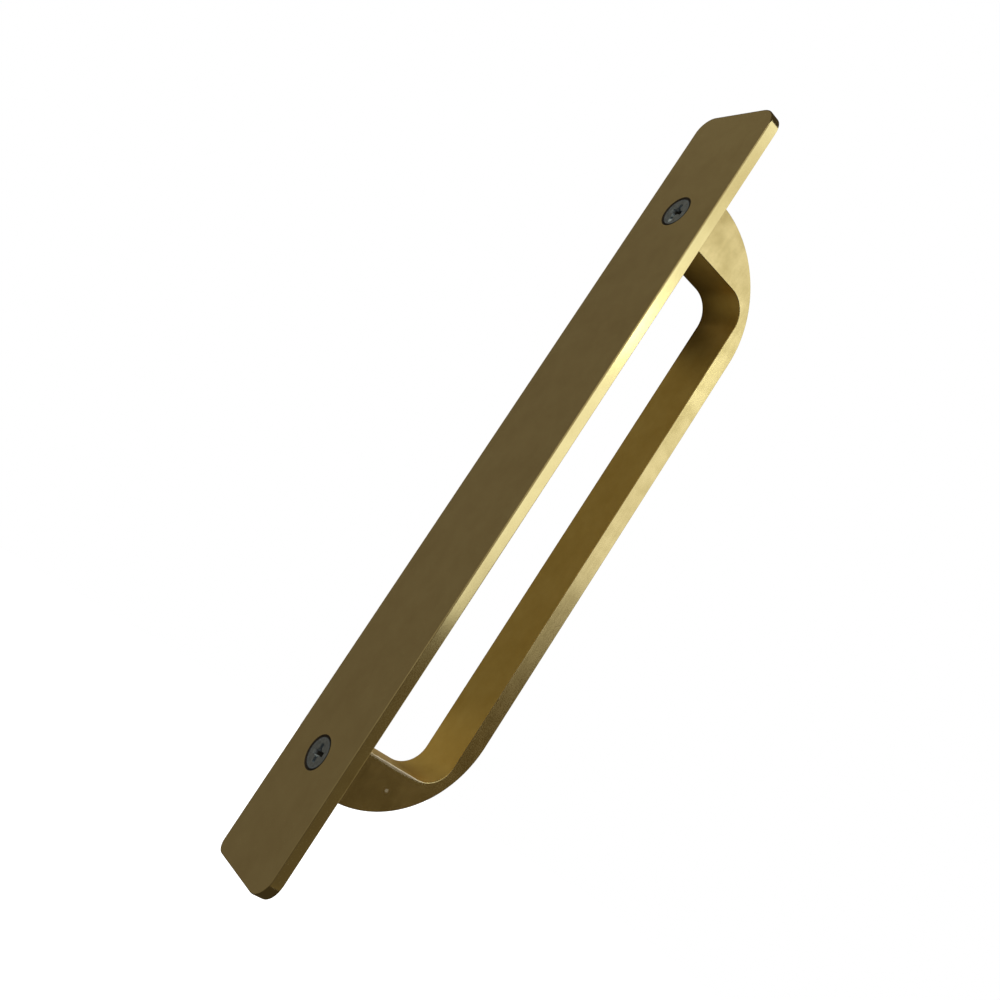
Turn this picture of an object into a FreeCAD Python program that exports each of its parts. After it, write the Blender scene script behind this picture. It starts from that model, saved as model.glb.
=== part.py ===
import FreeCAD, Part
import math
import os

os.makedirs("parts", exist_ok=True)

Vector = FreeCAD.Vector

# Pull for the edge of a pocket door, in millimetres, as it stands in the door.
# +Z is up the door's edge, -Y faces out of the edge and +Y goes into the door.
# The origin is the centre of the plate's back face, which seats on the door's edge.

# Edge plate: a flat brass bar, its corners rounded by hand to unlike radii. Right is +X, top is +Z.
plate_length = 203.0
plate_width = 26.0
plate_thickness = 3.0
top_right_radius = 5.2
top_left_radius = 4.2
bottom_left_radius = 2.4
bottom_right_radius = 5.2
plate_edge_round = 0.3

# Loop behind the plate: two thick legs joined by a thin grip
gap_length = 132.2
gap_depth = 23.9
loop_width = 13.4
leg_thickness = 12.4
leg_foot = 2.4
grip_thickness = 4.3
inner_corner_radius = 6.4
loop_edge_round = 0.2

# Countersunk M4 screws, one up the middle of each leg
screw_diameter = 4.0
screw_length = 12.0
screw_tip_chamfer = 0.5
head_diameter = 7.5
head_rim = 0.2
head_angle = 90.0
head_sink = 0.15

# Cross recess in the screw head
recess_width = 4.3
recess_depth = 2.1
recess_bottom_width = 1.5
wing_thickness = 1.05
wing_bottom_thickness = 0.6
core_diameter = 2.3

# Degrees that each cross has turned about +Y, as its screw came to rest
upper_turn = 13.0
lower_turn = -7.0

# Clearances round each screw
head_clearance = 0.02
shank_clearance = 0.25
thread_clearance = 0.05
tip_clearance = 1.2
drill_point_angle = 118.0

# Places that follow from the sizes above
loop_depth = gap_depth + grip_thickness
loop_length = gap_length + 2 * leg_thickness
outer_corner_radius = loop_depth - leg_foot
screw_height = (gap_length + leg_thickness) / 2
head_top = -plate_thickness + head_sink
head_rim_end = head_top + head_rim
screw_tip = head_top + screw_length
head_slope = math.tan(math.radians(head_angle / 2))


def closed_face(edges):
    return Part.Face(Part.Wire(edges))


def line(start, end):
    return Part.LineSegment(start, end).toShape()


def arc(start, middle, end):
    return Part.Arc(start, middle, end).toShape()


def plate_outline(y):
    """Face of the plate's outline in the plane at y, width along X and length along Z."""
    half_width = plate_width / 2
    half_length = plate_length / 2
    corners = [
        (1, 1, top_right_radius), (-1, 1, top_left_radius),
        (-1, -1, bottom_left_radius), (1, -1, bottom_right_radius),
    ]
    edges = []
    ends = []
    for i, (side_x, side_z, radius) in enumerate(corners):
        reach = radius * math.sqrt(0.5)
        centre = Vector(side_x * (half_width - radius), y, side_z * (half_length - radius))
        on_side = centre + Vector(side_x * radius, 0, 0)
        on_end = centre + Vector(0, 0, side_z * radius)
        middle = centre + Vector(side_x * reach, 0, side_z * reach)
        start, end = (on_side, on_end) if i % 2 == 0 else (on_end, on_side)
        edges.append(arc(start, middle, end))
        ends.append((start, end))
    for i in range(4):
        edges.append(line(ends[i][1], ends[(i + 1) % 4][0]))
    return closed_face(Part.__sortEdges__(edges))


def turned_along_y(profile, z):
    """Solid of revolution about the line x = 0, z = z from (radius, y) points."""
    points = [Vector(radius, y, z) for radius, y in profile]
    edges = [line(a, b) for a, b in zip(points, points[1:] + points[:1])]
    return closed_face(edges).revolve(Vector(0, 0, z), Vector(0, 1, 0), 360)


def countersunk_hole(z):
    """Cutter for the plate: a cone that the screw's head fills, then a clear hole for its shank."""
    hole_radius = screw_diameter / 2 + shank_clearance
    mouth_radius = head_diameter / 2 + head_clearance + (head_sink + head_rim) * head_slope
    cone_end = -plate_thickness + (mouth_radius - hole_radius) / head_slope
    return turned_along_y([
        (0, -plate_thickness), (mouth_radius, -plate_thickness),
        (hole_radius, cone_end), (hole_radius, 0), (0, 0),
    ], z)


def tapped_hole(z):
    """Cutter for a leg: a blind hole with a drill point, a little longer than the screw."""
    radius = screw_diameter / 2 + thread_clearance
    depth = screw_tip + tip_clearance
    point = radius / math.tan(math.radians(drill_point_angle / 2))
    return turned_along_y([(0, 0), (radius, 0), (radius, depth), (0, depth + point)], z)


def edge_plate():
    plate = plate_outline(-plate_thickness).extrude(Vector(0, plate_thickness, 0))
    rims = [e for e in plate.Edges if abs(e.BoundBox.YMax - e.BoundBox.YMin) < plate_thickness / 2]
    plate = plate.makeFillet(plate_edge_round, rims)
    for side in (1, -1):
        plate = plate.cut(countersunk_hole(side * screw_height))
    return plate


def hooked_outline(x, length, depth, radius):
    """Edges up one leg, round both corners and down the other leg, open at the plate."""
    half_length = length / 2
    reach = radius * math.sqrt(0.5)
    edges = []
    for side in (1, -1):
        centre = Vector(x, depth - radius, side * (half_length - radius))
        foot = Vector(x, 0, side * half_length)
        leg = centre + Vector(0, 0, side * radius)
        grip = centre + Vector(0, radius, 0)
        edges.append(line(foot, leg))
        edges.append(arc(leg, centre + Vector(0, reach, side * reach), grip))
    edges.append(line(Vector(x, depth, half_length - radius), Vector(x, depth, radius - half_length)))
    return edges


def grip_loop():
    x = -loop_width / 2
    outer = hooked_outline(x, loop_length, loop_depth, outer_corner_radius)
    inner = hooked_outline(x, gap_length, gap_depth, inner_corner_radius)
    feet = []
    for side in (1, -1):
        feet.append(line(Vector(x, 0, side * gap_length / 2), Vector(x, 0, side * loop_length / 2)))
    loop = closed_face(Part.__sortEdges__(outer + inner + feet)).extrude(Vector(loop_width, 0, 0))
    rims = []
    for edge in loop.Edges:
        box = edge.BoundBox
        on_a_side = box.XMax - box.XMin < loop_width / 2
        off_the_plate = box.YMax > leg_foot / 2
        if on_a_side and off_the_plate:
            rims.append(edge)
    loop = loop.makeFillet(loop_edge_round, rims)
    for side in (1, -1):
        loop = loop.cut(tapped_hole(side * screw_height))
    return loop


def tapered_block(width, thickness, bottom_width, bottom_thickness, z):
    """Recess cutter, from the top of the head down to the recess's depth."""
    rings = []
    for y, along_x, along_z in (
        (head_top, width, thickness),
        (head_top + recess_depth, bottom_width, bottom_thickness),
    ):
        corners = [
            Vector(sx * along_x / 2, y, z + sz * along_z / 2)
            for sx, sz in ((1, 1), (-1, 1), (-1, -1), (1, -1))
        ]
        rings.append(Part.makePolygon(corners + corners[:1]))
    return Part.makeLoft(rings, True)


def cross_recess(z):
    """Cutter for the head: four tapered wings round a tapered core."""
    wing = tapered_block(recess_width, wing_thickness, recess_bottom_width, wing_bottom_thickness, z)
    crossed = wing.copy()
    crossed.rotate(Vector(0, 0, z), Vector(0, 1, 0), 90)
    core = turned_along_y([
        (0, head_top), (core_diameter / 2, head_top),
        (wing_bottom_thickness / 2, head_top + recess_depth), (0, head_top + recess_depth),
    ], z)
    return wing.fuse(crossed).fuse(core)


def countersunk_screw(z, turn):
    """Screw with its head in the plate and its shank up the leg, its recess turned by turn degrees."""
    radius = screw_diameter / 2
    rim = head_diameter / 2
    neck = head_rim_end + (rim - radius) / head_slope
    body = turned_along_y([
        (0, head_top), (rim, head_top), (rim, head_rim_end), (radius, neck),
        (radius, screw_tip - screw_tip_chamfer), (radius - screw_tip_chamfer, screw_tip), (0, screw_tip),
    ], z)
    recess = cross_recess(z)
    recess.rotate(Vector(0, 0, z), Vector(0, 1, 0), turn)
    return body.cut(recess)


pieces = {
    "edge_plate": edge_plate(),
    "grip_loop": grip_loop(),
    "upper_screw": countersunk_screw(screw_height, upper_turn),
    "lower_screw": countersunk_screw(-screw_height, lower_turn),
}

for name, shape in pieces.items():
    shape.exportStep("parts/" + name + ".step")
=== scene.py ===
import math

import bmesh
import bpy
from mathutils import Matrix, Quaternion, Vector


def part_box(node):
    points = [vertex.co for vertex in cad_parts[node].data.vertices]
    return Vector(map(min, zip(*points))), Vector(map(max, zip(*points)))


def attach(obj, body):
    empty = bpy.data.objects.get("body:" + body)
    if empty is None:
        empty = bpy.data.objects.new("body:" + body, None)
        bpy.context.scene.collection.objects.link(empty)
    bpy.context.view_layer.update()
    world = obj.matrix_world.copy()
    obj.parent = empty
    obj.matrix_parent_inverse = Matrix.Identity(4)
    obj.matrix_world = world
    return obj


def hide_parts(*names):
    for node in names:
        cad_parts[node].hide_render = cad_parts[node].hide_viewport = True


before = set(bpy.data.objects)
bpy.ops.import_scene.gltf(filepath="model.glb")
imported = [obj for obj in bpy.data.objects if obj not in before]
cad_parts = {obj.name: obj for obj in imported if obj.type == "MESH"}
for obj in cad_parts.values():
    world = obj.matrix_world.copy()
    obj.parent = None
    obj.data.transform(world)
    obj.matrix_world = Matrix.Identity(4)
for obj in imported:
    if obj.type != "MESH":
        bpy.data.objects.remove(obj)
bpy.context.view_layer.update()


# Edge plate: the one piece that shows when the door is shut. It is sawn from flat brass bar, its
# corners and rims are rounded, its faces brushed from end to end, and it is countersunk for the
# two screws. It lies on the door's edge.
mm = 0.001
touching = 0.01 * mm
plate_low, plate_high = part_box("edge_plate")
top_right_radius = 5.2 * mm
top_left_radius = 4.2 * mm
bottom_left_radius = 2.4 * mm
bottom_right_radius = 5.2 * mm
corner_steps = 14
plate_edge_round = 0.3 * mm
rim_steps = 4
mouth_radius = 4.12 * mm
hole_radius = 2.25 * mm
hole_steps = 64
overshoot = 1 * mm
crease_angle = 35


def bevel(bm, edges, radius, segments):
    """Rounds edges to a radius."""
    bmesh.ops.bevel(bm, geom=edges, offset=radius, offset_type="OFFSET", segments=segments,
                    profile=0.5, affect="EDGES", material=-1, clamp_overlap=True)


def turned(profile, centre, segments):
    """Bmesh turned about a line along Y from (radius, y) points that begin and end on it."""
    bm = bmesh.new()
    points = [bm.verts.new((centre.x + radius, y, centre.z)) for radius, y in profile]
    edges = [bm.edges.new(pair) for pair in zip(points, points[1:])]
    bmesh.ops.spin(bm, geom=points + edges, cent=(centre.x, 0, centre.z), axis=(0, 1, 0),
                   angle=2 * math.pi, steps=segments, use_merge=True)
    bmesh.ops.remove_doubles(bm, verts=bm.verts, dist=touching / 10)
    bmesh.ops.recalc_face_normals(bm, faces=bm.faces)
    return bm


def new_object(bm, name):
    """Object of that name from a bmesh, which is freed."""
    mesh = bpy.data.meshes.new(name)
    bm.to_mesh(mesh)
    bm.free()
    piece = bpy.data.objects.new(name, mesh)
    bpy.context.scene.collection.objects.link(piece)
    return piece


def cut(piece, cutters):
    """Takes the cutters out of a piece, and removes them."""
    for cutter in cutters:
        modifier = piece.modifiers.new("cut", "BOOLEAN")
        modifier.operation = "DIFFERENCE"
        modifier.solver = "EXACT"
        modifier.object = cutter
    graph = bpy.context.evaluated_depsgraph_get()
    shaped = bpy.data.meshes.new_from_object(piece.evaluated_get(graph))
    piece.modifiers.clear()
    piece.data = shaped
    for cutter in cutters:
        bpy.data.objects.remove(cutter)


def smooth(piece):
    """Shades a piece smooth across its rounds and flat on its faces."""
    piece.data.shade_smooth()
    piece.data.set_sharp_from_angle(angle=math.radians(crease_angle))
    weighted = piece.modifiers.new("flat faces", "WEIGHTED_NORMAL")
    weighted.keep_sharp = True


def lay_grain(piece, along):
    """UV map in metres, with u across the brushing and v along it, as along(point) says."""
    side_slope = 0.7
    bm = bmesh.new()
    bm.from_mesh(piece.data)
    grain = bm.loops.layers.uv.new("grain")
    for face in bm.faces:
        on_side = abs(face.normal.x) > side_slope
        for corner in face.loops:
            point = corner.vert.co
            corner[grain].uv = (point.y, point.z) if on_side else (point.x, along(point))
    bm.to_mesh(piece.data)
    bm.free()


def screw_places():
    """Name of each screw, the top of its head on its axis, and how deep its tip lies."""
    for name in ("upper_screw", "lower_screw"):
        low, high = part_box(name)
        yield name, Vector(((low.x + high.x) / 2, low.y, (low.z + high.z) / 2)), high.y


def along_plate(point):
    """How far along the brushing a point lies: up the plate, and on over its ends."""
    return point.z - point.y


bm = bmesh.new()
bmesh.ops.create_cube(bm, size=1.0)
bmesh.ops.scale(bm, vec=plate_high - plate_low, verts=bm.verts)
bmesh.ops.translate(bm, vec=(plate_high + plate_low) / 2, verts=bm.verts)
for side_x, side_z, radius in (
    (1, 1, top_right_radius), (-1, 1, top_left_radius),
    (-1, -1, bottom_left_radius), (1, -1, bottom_right_radius),
):
    corner = [e for e in bm.edges
              if all(v.co.x * side_x > plate_high.x - touching for v in e.verts)
              and all(v.co.z * side_z > plate_high.z - touching for v in e.verts)]
    bevel(bm, corner, radius, corner_steps)
rims = [e for e in bm.edges if abs(e.verts[0].co.y - e.verts[1].co.y) < touching
        and len({round(f.normal.y) for f in e.link_faces}) == 2]
bevel(bm, rims, plate_edge_round, rim_steps)
edge_plate = new_object(bm, "brushed_edge_plate")
cutters = []
for name, head, tip in screw_places():
    front, back = plate_low.y - overshoot, plate_high.y + overshoot
    cone_end = plate_low.y + mouth_radius - hole_radius
    hole = turned([(0, front), (mouth_radius + overshoot, front), (hole_radius, cone_end),
                   (hole_radius, back), (0, back)], head, hole_steps)
    cutters.append(new_object(hole, "hole"))
cut(edge_plate, cutters)
lay_grain(edge_plate, along_plate)
smooth(edge_plate)


def linear(colour):
    """Scene linear colour from an sRGB hex value."""
    parts = [int(colour[i:i + 2], 16) / 255 for i in (1, 3, 5)]
    return [p / 12.92 if p <= 0.04045 else ((p + 0.055) / 1.055) ** 2.4 for p in parts] + [1.0]


def add(tree, kind, options=None, inputs=None):
    """Adds a node: options are its own settings, inputs are values or the sockets that feed it."""
    node = tree.nodes.new(kind)
    for name, value in (options or {}).items():
        setattr(node, name, value)
    for name, value in (inputs or {}).items():
        if isinstance(value, bpy.types.NodeSocket):
            tree.links.new(value, node.inputs[name])
        else:
            node.inputs[name].default_value = value
    return node


def new_material(name):
    """Material of that name with a bare node tree."""
    material = bpy.data.materials.new(name)
    material.use_nodes = True
    material.node_tree.nodes.clear()
    return material


# Brushed brass: linished with a belt along its length, then left bare to tone down in use. The
# scratches stretch its reflections across the bar, and thin oxide clouds them. Real scratches are
# under 0.1 mm apart, and are drawn 0.25 mm apart so that they show.
scratch_spacing = 0.25 * mm
scratch_length = 14 * mm
scratch_depth = 0.02 * mm
scratch_range = (0.3, 0.7)
belt_mark_spacing = 1.6 * mm
belt_mark_length = 45 * mm
oxide_patch = 7 * mm
oxide_range = (0.35, 0.7)
noise_middle = 0.5

# Where something harder has roughed up the brass, it is pale and dull, in a patch with a frayed
# edge. The noise that frays it adds 0 to 1 to the distance, in reaches, from the patch's centre.
raw_brass = "#FFF6DC"
scuff_and_glint_fray = 0.35 * mm
scuff_and_glint_edge = (1.2, 1.5)
scuff_dulling = 0.35
scuff_height = 4.0

# Sockets of a Mix node that mixes two colours
mix_share, mix_first, mix_second, mix_result = 0, 6, 7, 2


# The same ragged patch also places the painted highlights (glints) on the screws.
def scuff_or_glint_mask(tree, place, centre, reach):
    """Mask of a ragged patch, 1 inside it, from its centre and its reach along x, y and z."""
    offset = add(tree, "ShaderNodeVectorMath", {"operation": "SUBTRACT"}, {0: place, 1: centre})
    scaled = add(tree, "ShaderNodeVectorMath", {"operation": "DIVIDE"}, {0: offset.outputs[0], 1: reach})
    away = add(tree, "ShaderNodeVectorMath", {"operation": "LENGTH"}, {0: scaled.outputs[0]})
    fray = add(tree, "ShaderNodeTexNoise", inputs={
        "Vector": place, "Scale": 1 / scuff_and_glint_fray, "Detail": 3.0, "Roughness": 0.7})
    ragged = add(tree, "ShaderNodeMath", {"operation": "ADD"}, {
        0: away.outputs["Value"], 1: fray.outputs["Fac"]})
    mask = add(tree, "ShaderNodeMapRange", inputs={
        "Value": ragged.outputs[0], "From Min": scuff_and_glint_edge[0], "From Max": scuff_and_glint_edge[1],
        "To Min": 1.0, "To Max": 0.0})
    return mask.outputs["Result"]


def brass(name, clean, toned, roughness, anisotropy, coarseness, turn=0, belt_marks=0.0, scuffs=()):
    """Brass with scratches at a turn in degrees to the grain map, in a clean and a toned down colour.
    Belt marks share out the tone lengthwise, and each scuff is a centre and a reach."""
    material = new_material(name)
    tree = material.node_tree
    grain_map = add(tree, "ShaderNodeUVMap", {"uv_map": "grain"})
    stretched = add(tree, "ShaderNodeMapping", inputs={
        "Vector": grain_map.outputs["UV"], "Rotation": (0, 0, math.radians(turn)),
        "Scale": (1 / scratch_spacing, 1 / scratch_length, 1)})
    scratches = add(tree, "ShaderNodeTexNoise", {"noise_dimensions": "2D"}, {
        "Vector": stretched.outputs["Vector"], "Scale": 1.0, "Detail": 3.0, "Roughness": 0.6})
    lengthwise = add(tree, "ShaderNodeMapping", inputs={
        "Vector": grain_map.outputs["UV"], "Scale": (1 / belt_mark_spacing, 1 / belt_mark_length, 1)})
    marks = add(tree, "ShaderNodeTexNoise", {"noise_dimensions": "2D"}, {
        "Vector": lengthwise.outputs["Vector"], "Scale": 1.0, "Detail": 2.0, "Roughness": 0.5})
    place = add(tree, "ShaderNodeTexCoord")
    oxide = add(tree, "ShaderNodeTexNoise", inputs={
        "Vector": place.outputs["Object"], "Scale": 1 / oxide_patch, "Detail": 4.0, "Roughness": 0.6})
    patchy = add(tree, "ShaderNodeMath", {"operation": "MULTIPLY_ADD"}, {
        0: marks.outputs["Fac"], 1: belt_marks, 2: oxide.outputs["Fac"]})
    toning = add(tree, "ShaderNodeMapRange", inputs={
        "Value": patchy.outputs[0], "From Min": oxide_range[0] + noise_middle * belt_marks,
        "From Max": oxide_range[1] + noise_middle * belt_marks})
    colour = add(tree, "ShaderNodeMix", {"data_type": "RGBA"}, {
        mix_share: toning.outputs["Result"], mix_first: linear(clean), mix_second: linear(toned)})
    dulling = add(tree, "ShaderNodeMapRange", inputs={
        "Value": scratches.outputs["Fac"], "From Min": scratch_range[0], "From Max": scratch_range[1],
        "To Min": roughness - coarseness, "To Max": roughness + coarseness})
    tone = colour.outputs[mix_result]
    dulled = dulling.outputs["Result"]
    height = scratches.outputs["Fac"]
    for centre, reach in scuffs:
        scuff = scuff_or_glint_mask(tree, place.outputs["Object"], centre, reach)
        paled = add(tree, "ShaderNodeMix", {"data_type": "RGBA"}, {
            mix_share: scuff, mix_first: tone, mix_second: linear(raw_brass)})
        rougher = add(tree, "ShaderNodeMath", {"operation": "MULTIPLY_ADD", "use_clamp": True}, {
            0: scuff, 1: scuff_dulling, 2: dulled})
        raised = add(tree, "ShaderNodeMath", {"operation": "MULTIPLY_ADD"}, {
            0: scuff, 1: scuff_height, 2: height})
        tone = paled.outputs[mix_result]
        dulled = rougher.outputs[0]
        height = raised.outputs[0]
    relief = add(tree, "ShaderNodeBump", inputs={
        "Height": height, "Strength": 2 * coarseness, "Distance": scratch_depth})
    across = add(tree, "ShaderNodeTangent", {"direction_type": "UV_MAP", "uv_map": "grain"})
    surface = add(tree, "ShaderNodeBsdfPrincipled", inputs={
        "Base Color": tone, "Metallic": 1.0, "Roughness": dulled,
        "Anisotropic": anisotropy, "Anisotropic Rotation": turn / 360,
        "Tangent": across.outputs["Tangent"], "Normal": relief.outputs["Normal"]})
    add(tree, "ShaderNodeOutputMaterial", inputs={"Surface": surface.outputs["BSDF"]})
    return material


# Painted shade in the countersinks: a matt, nearly black colour on the cone faces, which draws a dark
# ring round each screw's head where shade falls between head and plate.
shade_mottle_grain = 0.6 * mm
in_plane = 0.9
countersink_painted_shade = new_material("countersink_painted_shade")
tree = countersink_painted_shade.node_tree
place = add(tree, "ShaderNodeTexCoord")
shade_mottle = add(tree, "ShaderNodeTexNoise", inputs={
    "Vector": place.outputs["Object"], "Scale": 1 / shade_mottle_grain, "Detail": 3.0})
colour = add(tree, "ShaderNodeMix", {"data_type": "RGBA"}, {
    mix_share: shade_mottle.outputs["Fac"], mix_first: linear("#1E1A12"), mix_second: linear("#4A3A22")})
surface = add(tree, "ShaderNodeBsdfPrincipled", inputs={
    "Base Color": colour.outputs[mix_result], "Metallic": 0.3, "Roughness": 0.7})
add(tree, "ShaderNodeOutputMaterial", inputs={"Surface": surface.outputs["BSDF"]})

edge_plate.data.materials.clear()
edge_plate.data.materials.append(brass("brushed_brass", "#F4E5A6", "#EBDA9C", 0.18, 0.65, 0.012))
# The countersinks' cone faces take the painted shade.
edge_plate.data.materials.append(countersink_painted_shade)
for face in edge_plate.data.polygons:
    from_axis = min(math.hypot(face.center.x - head.x, face.center.z - head.z)
                    for name, head, tip in screw_places())
    in_countersink = from_axis < mouth_radius and abs(face.normal.y) < in_plane
    face.material_index = 1 if in_countersink else 0
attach(edge_plate, "root")
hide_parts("edge_plate")


# Grip loop: two thick legs joined by a thin grip, milled from one block of brass. Its back is
# rounded over in one sweep and its window has small round corners. It stands on the back of the
# plate, and each leg is drilled and tapped up its middle for a screw.
loop_low, loop_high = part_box("grip_loop")
leg_thickness = 12.4 * mm
grip_thickness = 4.3 * mm
back_radius = 25.8 * mm
back_steps = 40
window_radius = 6.4 * mm
window_steps = 14
loop_edge_round = 0.2 * mm
tapped_radius = 2.05 * mm
tapped_spare = 1.2 * mm
tapped_steps = 48
drill_point_angle = 118
grip_back = loop_high.y
grip_front = grip_back - grip_thickness
window_top = loop_high.z - leg_thickness
window_bottom = loop_low.z + leg_thickness
flat_half = (loop_high.z - loop_low.z) / 2 - back_radius

bm = bmesh.new()
outline = [(0, loop_low.z), (grip_back, loop_low.z), (grip_back, loop_high.z), (0, loop_high.z),
           (0, window_top), (grip_front, window_top), (grip_front, window_bottom), (0, window_bottom)]
side = bm.faces.new([bm.verts.new((loop_low.x, y, z)) for y, z in outline])
grown = bmesh.ops.extrude_face_region(bm, geom=[side])["geom"]
bmesh.ops.translate(bm, vec=(loop_high.x - loop_low.x, 0, 0),
                    verts=[v for v in grown if isinstance(v, bmesh.types.BMVert)])
bmesh.ops.recalc_face_normals(bm, faces=bm.faces)


def across_loop(bm, y):
    """Edges that run across the loop at a depth y."""
    return [e for e in bm.edges if abs(e.verts[0].co.x - e.verts[1].co.x) > mm
            and all(abs(v.co.y - y) < touching for v in e.verts)]


bevel(bm, across_loop(bm, grip_back), back_radius, back_steps)
bevel(bm, across_loop(bm, grip_front), window_radius, window_steps)
rims = [e for e in bm.edges if abs(e.verts[0].co.x - e.verts[1].co.x) < touching
        and max(v.co.y for v in e.verts) > touching
        and len({round(abs(f.normal.x)) for f in e.link_faces}) == 2]
bevel(bm, rims, loop_edge_round, rim_steps)
grip_loop = new_object(bm, "brushed_grip_loop")
cutters = []
for name, head, tip in screw_places():
    floor_y = tip + tapped_spare
    point_y = floor_y + tapped_radius / math.tan(math.radians(drill_point_angle / 2))
    hole = turned([(0, -overshoot), (tapped_radius, -overshoot), (tapped_radius, floor_y),
                   (0, point_y)], head, tapped_steps)
    cutters.append(new_object(hole, "hole"))
cut(grip_loop, cutters)


def along_loop(point):
    """How far along the brushing a point lies: up the grip, and then round and down each leg."""
    turned_by = max(-1.0, min(1.0, point.z / flat_half))
    return point.z + turned_by * (grip_back - point.y)


lay_grain(grip_loop, along_loop)
smooth(grip_loop)

# The loop's outside is brushed by hand with a coarser belt, so it is duller than the plate, and a
# little streaked. Inside its window it keeps the cutter's rougher finish, and its deeper gold is
# painted light: it stands for light that gets in and out only by way of more brass. A burr is left
# along the lower leg's near edge, the edge is roughed up beside the plate, and there is a nick below it.
burr = ((loop_high.x, 10.5 * mm, window_bottom), (0.9 * mm, 9.5 * mm, 0.8 * mm))
rough_edge = ((loop_high.x, 1.5 * mm, window_bottom), (3 * mm, 4 * mm, 1 * mm))
nick = ((loop_high.x, 12.3 * mm, window_bottom - 5.2 * mm), (0.8 * mm, 0.5 * mm, 0.5 * mm))
loop_scuffs = [burr, rough_edge, nick]
grip_loop.data.materials.clear()
grip_loop.data.materials.append(brass("belted_brass", "#E8D69A", "#CDBB80", 0.22, 0.65, 0.025,
                                      belt_marks=0.25, scuffs=loop_scuffs))
# Painted light: the window's deeper gold stands for light bounced off more brass.
grip_loop.data.materials.append(brass("milled_brass_painted_bounce", "#F8DA7C", "#ECCB6A", 0.42, 0.6, 0.01,
                                      turn=90, scuffs=loop_scuffs))
on_edge = 0.5
for face in grip_loop.data.polygons:
    in_window = face.center.y < grip_front + touching and window_bottom < face.center.z < window_top
    face.material_index = 1 if in_window and abs(face.normal.x) < on_edge else 0
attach(grip_loop, "root")
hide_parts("grip_loop")


# Screws: two countersunk M4 steel screws, cold headed and zinc plated, driven through the plate up
# the middle of each leg. They clamp the plate to the loop, and came to rest at different turns.
head_radius = 3.75 * mm
head_rim = 0.2 * mm
head_steps = 64
shank_radius = 2.0 * mm
tip_chamfer = 0.5 * mm
rim_round = 0.06 * mm
recess_depth = 2.1 * mm
recess_width = 4.3 * mm
recess_bottom_width = 1.5 * mm
recess_reach = 0.6 * recess_width
wing_thickness = 1.05 * mm
wing_bottom_thickness = 0.6 * mm
core_radius = 1.15 * mm
core_steps = 24
core_overshoot = 0.1 * mm
turns = {"upper_screw": 13, "lower_screw": -7}


def tapered_wing(head, turn):
    """Cutter for one pair of the recess's wings, narrowing to its bottom."""
    bm = bmesh.new()
    bmesh.ops.create_cube(bm, size=1.0)
    for vert in bm.verts:
        at_top = vert.co.y < 0
        vert.co.x *= recess_width if at_top else recess_bottom_width
        vert.co.z *= wing_thickness if at_top else wing_bottom_thickness
        vert.co.y = 0.0 if at_top else recess_depth
    bmesh.ops.rotate(bm, cent=(0, 0, 0), matrix=Matrix.Rotation(math.radians(turn), 3, "Y"), verts=bm.verts)
    bmesh.ops.translate(bm, vec=head, verts=bm.verts)
    return new_object(bm, "wing")


# Zinc plated steel: bright once, and now dull grey with patches of bloom. Painted shade darkens the
# recesses and the rims to nearly black, and three painted highlights (glints) sit on recess edges.
bloom_patch = 0.9 * mm
bloom_range = (0.3, 0.7)
plating_roughness = (0.32, 0.5)
recess_shade_depths = (0.09 * mm, 0.9 * mm)
rim_shade_reach = (0.5 * mm, 0.15 * mm)
shaded_metallic = 0.4
upper_head = next(screw_places())[1]
head_top = upper_head.y
head_height = upper_head.z
# Painted highlights: small pale, non-metal patches on the recess edges, standing in for glints.
rim_glint = ((-0.35 * mm, head_top, head_height - 2.4 * mm), (0.7 * mm, 0.5 * mm, 0.6 * mm))
wing_glint = ((-0.6 * mm, head_top + 0.2 * mm, head_height - 1.0 * mm), (0.4 * mm, 0.5 * mm, 0.4 * mm))
lower_glint = ((-0.4 * mm, head_top + 0.4 * mm, -head_height - 0.45 * mm), (0.7 * mm, 0.8 * mm, 0.5 * mm))

plated_steel = new_material("zinc_plated_steel")
tree = plated_steel.node_tree
place = add(tree, "ShaderNodeTexCoord")
bloom = add(tree, "ShaderNodeTexNoise", inputs={
    "Vector": place.outputs["Object"], "Scale": 1 / bloom_patch, "Detail": 4.0, "Roughness": 0.65})
plating = add(tree, "ShaderNodeMix", {"data_type": "RGBA"}, {
    mix_share: bloom.outputs["Fac"], mix_first: linear("#D7E9F3"), mix_second: linear("#748590")})
parts = add(tree, "ShaderNodeSeparateXYZ", inputs={"Vector": place.outputs["Object"]})
# Painted shade: darker deeper in the recess and towards the head's rim, where shade falls.
in_recess = add(tree, "ShaderNodeMapRange", inputs={
    "Value": parts.outputs["Y"],
    "From Min": head_top + recess_shade_depths[0], "From Max": head_top + recess_shade_depths[1]})
height = add(tree, "ShaderNodeMath", {"operation": "ABSOLUTE"}, {0: parts.outputs["Z"]})
height = add(tree, "ShaderNodeMath", {"operation": "SUBTRACT"}, {0: height.outputs[0], 1: head_height})
from_axis = add(tree, "ShaderNodeCombineXYZ", inputs={"X": parts.outputs["X"], "Z": height.outputs[0]})
from_axis = add(tree, "ShaderNodeVectorMath", {"operation": "LENGTH"}, {0: from_axis.outputs[0]})
at_rim = add(tree, "ShaderNodeMapRange", {"interpolation_type": "SMOOTHSTEP"}, {
    "Value": from_axis.outputs["Value"],
    "From Min": head_radius - rim_shade_reach[0], "From Max": head_radius - rim_shade_reach[1]})
screw_painted_shade = add(tree, "ShaderNodeMath", {"operation": "MAXIMUM"}, {
    0: in_recess.outputs["Result"], 1: at_rim.outputs["Result"]})
colour = add(tree, "ShaderNodeMix", {"data_type": "RGBA"}, {
    mix_share: screw_painted_shade.outputs[0], mix_first: plating.outputs[mix_result], mix_second: linear("#34332D")})
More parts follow.
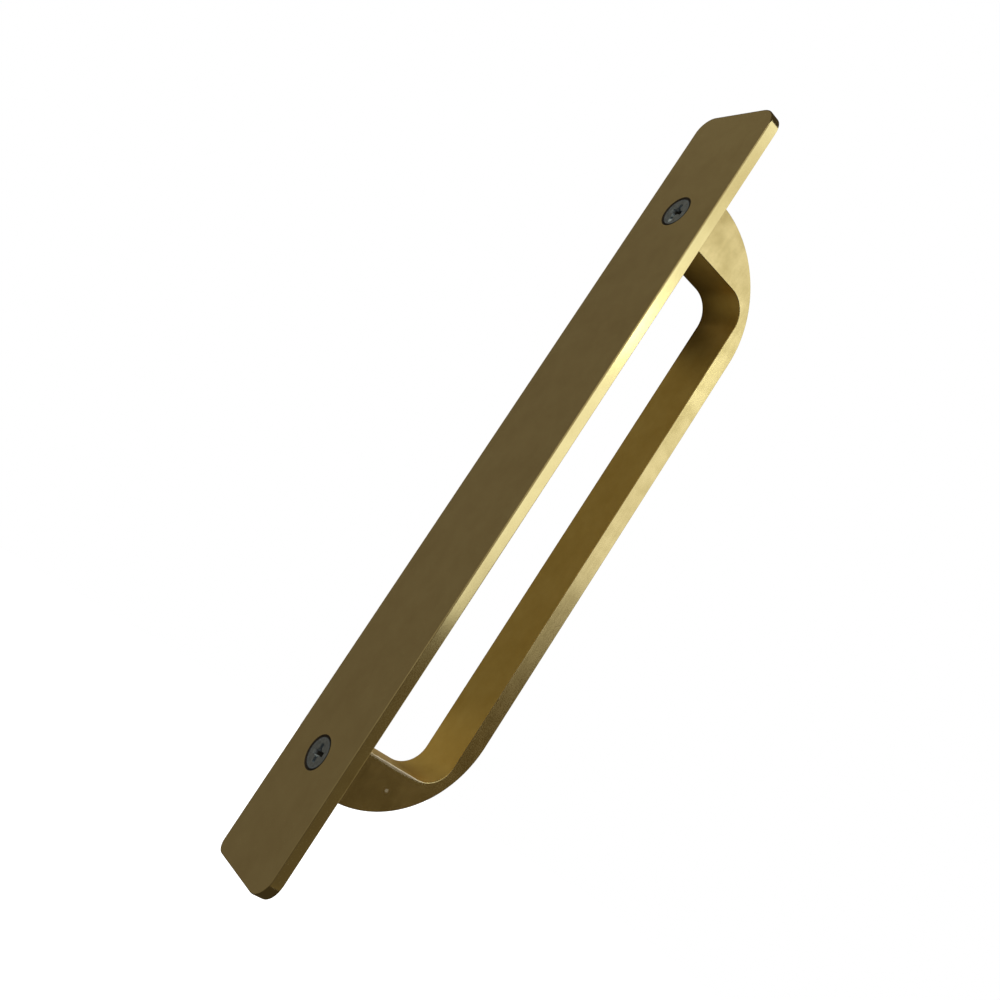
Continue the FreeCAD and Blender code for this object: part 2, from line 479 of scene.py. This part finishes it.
metal = add(tree, "ShaderNodeMapRange", inputs={
    "Value": screw_painted_shade.outputs[0], "To Min": 1.0, "To Max": shaded_metallic})
dulling = add(tree, "ShaderNodeMapRange", inputs={
    "Value": bloom.outputs["Fac"], "From Min": bloom_range[0], "From Max": bloom_range[1],
    "To Min": plating_roughness[0], "To Max": plating_roughness[1]})
tone = colour.outputs[mix_result]
metallic = metal.outputs["Result"]
# Each glint is a painted highlight: pale colour, and less metal so that it looks lit.
for centre, reach in (rim_glint, wing_glint, lower_glint):
    glint = scuff_or_glint_mask(tree, place.outputs["Object"], centre, reach)
    lit = add(tree, "ShaderNodeMix", {"data_type": "RGBA"}, {
        mix_share: glint, mix_first: tone, mix_second: linear("#A2AAA2")})
    glint_metallic = add(tree, "ShaderNodeMath", {"operation": "MULTIPLY_ADD", "use_clamp": True}, {
        0: glint, 1: -1.0, 2: metallic})
    tone = lit.outputs[mix_result]
    metallic = glint_metallic.outputs[0]
surface = add(tree, "ShaderNodeBsdfPrincipled", inputs={
    "Base Color": tone, "Metallic": metallic, "Roughness": dulling.outputs["Result"]})
add(tree, "ShaderNodeOutputMaterial", inputs={"Surface": surface.outputs["BSDF"]})

for name, head, tip in screw_places():
    rim_end = head.y + head_rim
    neck = rim_end + head_radius - shank_radius
    bm = turned([(0, head.y), (head_radius - rim_round, head.y), (head_radius, head.y + rim_round),
                 (head_radius, rim_end), (shank_radius, neck), (shank_radius, tip - tip_chamfer),
                 (shank_radius - tip_chamfer, tip), (0, tip)], head, head_steps)
    screw = new_object(bm, "plated_" + name)
    above = head.y - core_overshoot
    core = turned([(0, above), (core_radius, above), (core_radius, head.y),
                   (wing_bottom_thickness / 2, head.y + recess_depth), (0, head.y + recess_depth)],
                  head, core_steps)
    cut(screw, [tapered_wing(head, turns[name]), tapered_wing(head, turns[name] + 90),
                new_object(core, "core")])
    bm = bmesh.new()
    bm.from_mesh(screw.data)
    mouth = [e for e in bm.edges
             if all(abs(v.co.y - head.y) < touching for v in e.verts)
             and all(math.hypot(v.co.x - head.x, v.co.z - head.z) < recess_reach for v in e.verts)
             and any(abs(f.normal.y) < in_plane for f in e.link_faces)]
    bevel(bm, mouth, rim_round, 2)
    bm.to_mesh(screw.data)
    bm.free()
    smooth(screw)
    screw.data.materials.clear()
    screw.data.materials.append(plated_steel)
    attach(screw, "root")
    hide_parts(name)


# Studio: a pale floor under the pull, white all round, and one small soft lamp. Bare metal shows
# what is round it, so flags stand all round to give its faces their depth, and cards close beside
# the loop paint shade and light into its window: a painted shadow above, paler below.
floor_height = -0.45
floor_size = 8.0
white = (1, 1, 1, 1)
world_light = 0.6


def seen_directly(tree):
    """Socket that is 1 for what the camera sees, by itself or by way of metal or glass."""
    path = add(tree, "ShaderNodeLightPath")
    seen = add(tree, "ShaderNodeMath", {"operation": "ADD", "use_clamp": True}, {
        0: path.outputs["Is Camera Ray"], 1: path.outputs["Is Glossy Ray"]})
    seen = add(tree, "ShaderNodeMath", {"operation": "ADD", "use_clamp": True}, {
        0: seen.outputs[0], 1: path.outputs["Is Transmission Ray"]})
    return seen.outputs[0]


floor_bm = bmesh.new()
bmesh.ops.create_grid(floor_bm, x_segments=1, y_segments=1, size=floor_size / 2)
bmesh.ops.translate(floor_bm, vec=(0, 0, floor_height), verts=floor_bm.verts)
floor = new_object(floor_bm, "floor")
painted = new_material("white_painted_board")
tree = painted.node_tree
paint = add(tree, "ShaderNodeBsdfDiffuse", inputs={"Color": linear("#DCDCDA")})
glow = add(tree, "ShaderNodeEmission", inputs={"Color": white, "Strength": seen_directly(tree)})
both = add(tree, "ShaderNodeAddShader", inputs={0: paint.outputs[0], 1: glow.outputs[0]})
add(tree, "ShaderNodeOutputMaterial", inputs={"Surface": both.outputs[0]})
floor.data.materials.append(painted)

world = bpy.data.worlds.new("white_studio")
bpy.context.scene.world = world
world.use_nodes = True
tree = world.node_tree
tree.nodes.clear()
level = add(tree, "ShaderNodeMapRange", inputs={
    "Value": seen_directly(tree), "To Min": world_light, "To Max": 1.0})
sky = add(tree, "ShaderNodeBackground", inputs={"Color": white, "Strength": level.outputs[0]})
add(tree, "ShaderNodeOutputWorld", inputs={"Surface": sky.outputs[0]})

# Flags stand half a metre off. Their azimuths are in degrees from +X towards +Y, and their heights
# in metres from the pull's middle.
flag_distance = 0.5
flag_steps = 24
flag_foot = -0.44
flag_top = 0.45
round_steps = 64
card_place = -14.5 * mm
painted_shadow_slant = 0.3


def hang(bm, name, colours, fade=(0, 1), slant=0):
    """Hangs a card that the metal sees and the camera doesn't. It has one colour, or runs from one
    up to another between two heights, which fall by the slant away from the plate."""
    card = new_object(bm, name)
    material = new_material(name)
    tree = material.node_tree
    place = add(tree, "ShaderNodeTexCoord")
    height = add(tree, "ShaderNodeVectorMath", {"operation": "DOT_PRODUCT"}, {
        0: place.outputs["Object"], 1: (0, slant, 1)})
    shade = add(tree, "ShaderNodeMapRange", {"interpolation_type": "SMOOTHSTEP"}, {
        "Value": height.outputs["Value"], "From Min": fade[0], "From Max": fade[1]})
    tone = add(tree, "ShaderNodeMix", {"data_type": "RGBA"}, {
        mix_share: shade.outputs["Result"],
        mix_first: linear(colours[0]), mix_second: linear(colours[-1])})
    glow = add(tree, "ShaderNodeEmission", inputs={"Color": tone.outputs[mix_result], "Strength": 1.0})
    add(tree, "ShaderNodeOutputMaterial", inputs={"Surface": glow.outputs[0]})
    card.data.materials.append(material)
    card.visible_camera = False
    card.visible_diffuse = False
    card.visible_shadow = False


def painted_side_card(name, reach, heights, colours, fade=(0, 1)):
    """Upright card close along the pull's far side, beside the loop, which paints shade or light into its
    reflections.
    """
    bm = bmesh.new()
    foot = bm.edges.new([bm.verts.new((card_place, y, heights[0])) for y in reach])
    grown = bmesh.ops.extrude_edge_only(bm, edges=[foot])["geom"]
    bmesh.ops.translate(bm, vec=(0, 0, heights[1] - heights[0]),
                        verts=[v for v in grown if isinstance(v, bmesh.types.BMVert)])
    hang(bm, name, colours, fade, painted_shadow_slant)


def wall_flag(name, azimuths, tops, colours, fade=(0, 1), foot=flag_foot):
    """Curved upright flag from one azimuth to another, whose top edge slopes from one height to
    another."""
    first, last = (math.radians(a) for a in azimuths)
    bm = bmesh.new()
    ends = [bm.verts.new((flag_distance * math.cos(first), flag_distance * math.sin(first), z))
            for z in (foot, foot + 1)]
    upright = bm.edges.new(ends)
    bmesh.ops.spin(bm, geom=ends + [upright], cent=(0, 0, 0), axis=(0, 0, 1), angle=last - first,
                   steps=flag_steps, use_merge=False)
    for vert in bm.verts:
        if vert.co.z > foot + mm:
            azimuth = math.atan2(vert.co.y, vert.co.x)
            from_middle = math.remainder(azimuth - (first + last) / 2, 2 * math.pi)
            share = from_middle / (last - first) + 0.5
            vert.co.z = tops[0] + (tops[1] - tops[0]) * share
    hang(bm, name, colours, fade)


def flat_flag(name, centre, colour):
    """Round level flag over or under the pull."""
    bm = bmesh.new()
    bmesh.ops.create_circle(bm, cap_ends=True, segments=round_steps, radius=flag_distance)
    bmesh.ops.translate(bm, vec=centre, verts=bm.verts)
    hang(bm, name, (colour,))


upper_fade = (56 * mm, 63 * mm)
lower_fade = (-54 * mm, -40 * mm)
# Painted shadow for the window's upper end, painted light for its lower end, seen only in the metal.
painted_side_card("upper_painted_shadow_card", (mm, 23.5 * mm), (0, 50 * mm), ("#6A6356", "#1C150C"), upper_fade)
painted_side_card("upper_corner_painted_shadow_card", (mm, 36 * mm), (50 * mm, 66 * mm), ("#6A6356", "#1C150C"), upper_fade)
painted_side_card("lower_painted_light_card", (mm, 23.5 * mm), (-66 * mm, 0), ("#877E6E", "#6A6356"), lower_fade)
painted_side_card("lower_corner_painted_card", (23.5 * mm, 36 * mm), (-66 * mm, -52 * mm), ("#574D3D",))
wall_flag("left_flag", (190, 255), (flag_top, flag_top), ("#645B50", "#6D6457"), (0.25, 0.42))
wall_flag("front_flag", (255, 305), (flag_top, flag_top), ("#645B50", "#CFC6B6"), (-0.25, 0.3))
wall_flag("far_flag", (95, 190), (flag_top, flag_top), ("#5C5242", "#CFC6B6"), (-0.3, 0.25))
wall_flag("near_flag", (305, 350), (flag_top, flag_top), ("#4E453A", "#8A7F6E"), (-0.12, 0.2))
wall_flag("sloping_flag", (350, 375), (flag_top, -0.01), ("#4E453A", "#A99D8A"), (-0.06, 0.12))
wall_flag("low_flag", (15, 34.5), (-0.006, -0.006), ("#524838",))
wall_flag("middle_flag", (34.5, 60), (0.042, 0.1), ("#62563F",))
wall_flag("grey_band", (15, 70), (0.375, 0.375), ("#FFFFFF", "#DFDACE"), (0.285, 0.335), 0.285)
wall_flag("right_flag", (60, 95), (0.1, flag_top), ("#5C5242", "#CFC6B6"), (-0.3, 0.25))
flat_flag("over_flag", (-0.22, -0.13, flag_top), "#3F382D")
flat_flag("under_flag", (0, 0, flag_foot), "#3A3226")

# The lamp is small, soft and weak, and stands above the pull on its right.
key_azimuth = math.radians(28)
key_elevation = math.radians(22.5)
key_distance = 0.8
key = bpy.data.lights.new("key_softbox", "AREA")
key.shape = "RECTANGLE"
key.size = 0.06
key.size_y = 0.04
key.energy = 0.055
key.color = (0.9, 1.0, 0.72)
key_lamp = bpy.data.objects.new("key_softbox", key)
bpy.context.scene.collection.objects.link(key_lamp)
key_direction = Vector((math.cos(key_azimuth) * math.cos(key_elevation),
                        math.sin(key_azimuth) * math.cos(key_elevation), math.sin(key_elevation)))
key_lamp.location = key_direction * key_distance
key_lamp.rotation_mode = "QUATERNION"
key_lamp.rotation_quaternion = key_direction.to_track_quat("Z", "Y")


# Camera: level with the lower half of the pull and to its right, turned so that the pull leans
# across the picture.
camera_place = Vector((217.2, -130.5, -48.7)) * mm
camera_aim = Vector((-0.75, 0.69, -5.95)) * mm
camera_roll = 33.41
focal_length = 42.1
camera_data = bpy.data.cameras.new("camera")
camera_data.lens = focal_length
camera_data.sensor_width = 36.0
camera_data.clip_start = 0.01
camera_data.clip_end = 50.0
camera = bpy.data.objects.new("camera", camera_data)
bpy.context.scene.collection.objects.link(camera)
camera.location = camera_place
camera.rotation_mode = "QUATERNION"
camera.rotation_quaternion = ((camera_aim - camera_place).to_track_quat("-Z", "Y")
                              @ Quaternion((0, 0, 1), math.radians(camera_roll)))
bpy.context.scene.camera = camera
bpy.context.scene.view_settings.view_transform = "Standard"
